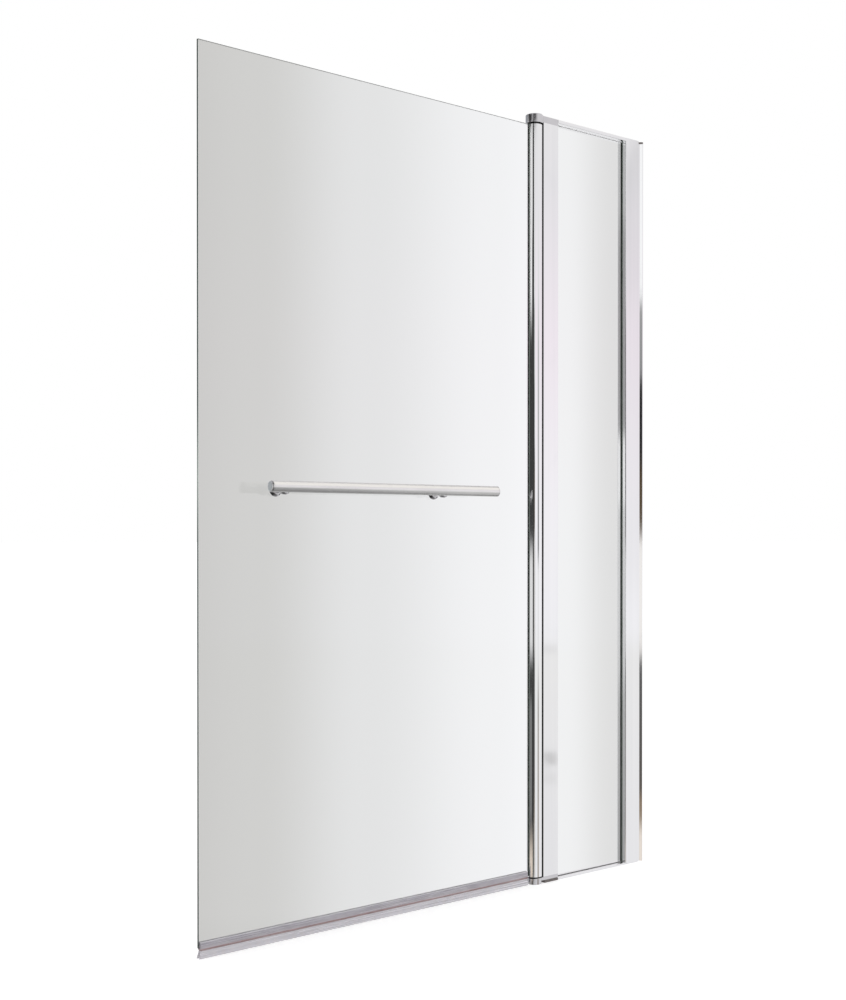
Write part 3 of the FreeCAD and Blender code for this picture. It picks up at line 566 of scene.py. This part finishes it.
# above the tops of the metal the room behind the camera is unlit
ceiling = w.ramp(
    w.span(az, -180.0, 0.0),
    [
        (0.000, grey(0.70)),
        (0.060, grey(0.60)),
        (0.170, grey(0.03)),
        (0.265, grey(0.03)),
        (0.340, grey(0.48)),
        (0.385, grey(0.48)),
        (0.420, grey(0.03)),
        (0.630, grey(0.03)),
        (0.760, grey(0.38)),
        (1.000, grey(0.80)),
    ],
)
behind = w.math("MULTIPLY", w.window(az, -200.0, -30.0, 20.0), w.span(el, 16.36, 16.50))
studio = w.mix(behind, studio, ceiling)
beyond = w.math("MULTIPLY", w.span(el, 22.0, 34.0), w.window(az, -75.0, 75.0, 12.0))
studio = w.mix(w.math("MULTIPLY", beyond, 0.8), studio, (0.50, 0.49, 0.53))
# the floor in the mirrors: first its far edge, then the boards nearer to the screen
edge = w.ramp(
    w.span(az, -180.0, 180.0),
    [
        (0.000, grey(0.40)),
        (0.070, grey(0.80)),
        (0.125, grey(0.80)),
        (0.180, grey(0.05)),
        (0.215, grey(0.05)),
        (0.235, grey(0.60)),
        (0.290, grey(0.35)),
        (0.400, grey(0.90)),
        (0.880, grey(0.85)),
        (0.900, grey(0.50)),
        (0.930, grey(0.30)),
        (0.975, grey(0.30)),
        (1.000, grey(0.40)),
    ],
)
near_floor = w.ramp(
    w.span(wx, -1.0, 1.0),
    [
        (0.00, grey(0.05)),
        (0.65, grey(0.04)),
        (0.71, grey(0.30)),
        (0.90, grey(0.34)),
        (0.92, grey(0.06)),
        (1.00, grey(0.05)),
    ],
)
# a light patch on it whose edge runs on a slant
patch = w.math("MULTIPLY_ADD", w.math("SUBTRACT", wx, 0.545), 350.0, w.math("ADD", el, 13.0))
patch = w.math("MULTIPLY", w.span(patch, -4.0, 6.0), w.window(wx, 0.50, 0.79, 0.04))
near_floor = w.mix(patch, near_floor, grey(0.66))
near_floor = w.mix(w.window(az, -62.0, 62.0, 14.0), near_floor, grey(0.40))
deep = w.mix(w.span(el, -58.0, -50.0), w.mix(w.window(az, -170.0, -50.0, 20.0), (0.24, 0.235, 0.235), (0.03, 0.03, 0.03)), near_floor)
down = w.mix(w.span(el, -24.0, -17.0), deep, edge)
front = w.window(az, -160.0, -30.0, 10.0)
start = w.mix(front, w.span(el, -17.5, -15.5, 1.0, 0.0), w.span(el, -14.30, -14.15, 1.0, 0.0))
studio = w.mix(start, studio, down)
# a blue-grey screen to the left, which the ends of the towel rail and the free edge of the pane face
studio = w.mix(w.math("MULTIPLY", w.window(az, -33.0, -12.0, 5.0), w.window(el, -16.0, 16.0, 6.0)), studio, (0.27, 0.31, 0.34))

mirrored = w.math("GREATER_THAN", path["Glossy Depth"], 0.5)
scattered = w.math("GREATER_THAN", path["Diffuse Depth"], 0.5)
seen = w.mix(through, (1.0, 1.0, 1.0), sweep)
seen = w.mix(mirrored, seen, studio)
seen = w.mix(scattered, seen, (1.04, 1.04, 1.04))
background = w.add("ShaderNodeBackground")
w.link(seen, background.inputs["Color"])
wout = w.add("ShaderNodeOutputWorld")
w.link(background.outputs[0], wout.inputs["Surface"])
world.cycles.sampling_method = "NONE"

cam = bpy.data.cameras.new("camera")
cam.lens = 49.5
cam.sensor_width = 36.0
cam.sensor_fit = "AUTO"
cam.shift_x = 0.0
cam.shift_y = 0.0362
cam.clip_start = 0.05
cam.clip_end = 300.0
camera = bpy.data.objects.new("camera", cam)
SCENE.collection.objects.link(camera)
camera.location = (-2.0790, -1.8527, 0.6609)
camera.rotation_euler = (radians(89.721), 0.0, radians(-39.406))
SCENE.camera = camera

SCENE.view_settings.view_transform = "Standard"
SCENE.view_settings.look = "None"
SCENE.view_settings.exposure = 0.0
SCENE.view_settings.gamma = 1.0
SCENE.cycles.max_bounces = 16
SCENE.cycles.diffuse_bounces = 4
SCENE.cycles.glossy_bounces = 8
SCENE.cycles.transmission_bounces = 14
SCENE.cycles.transparent_max_bounces = 16

bpy.context.view_layer.update()
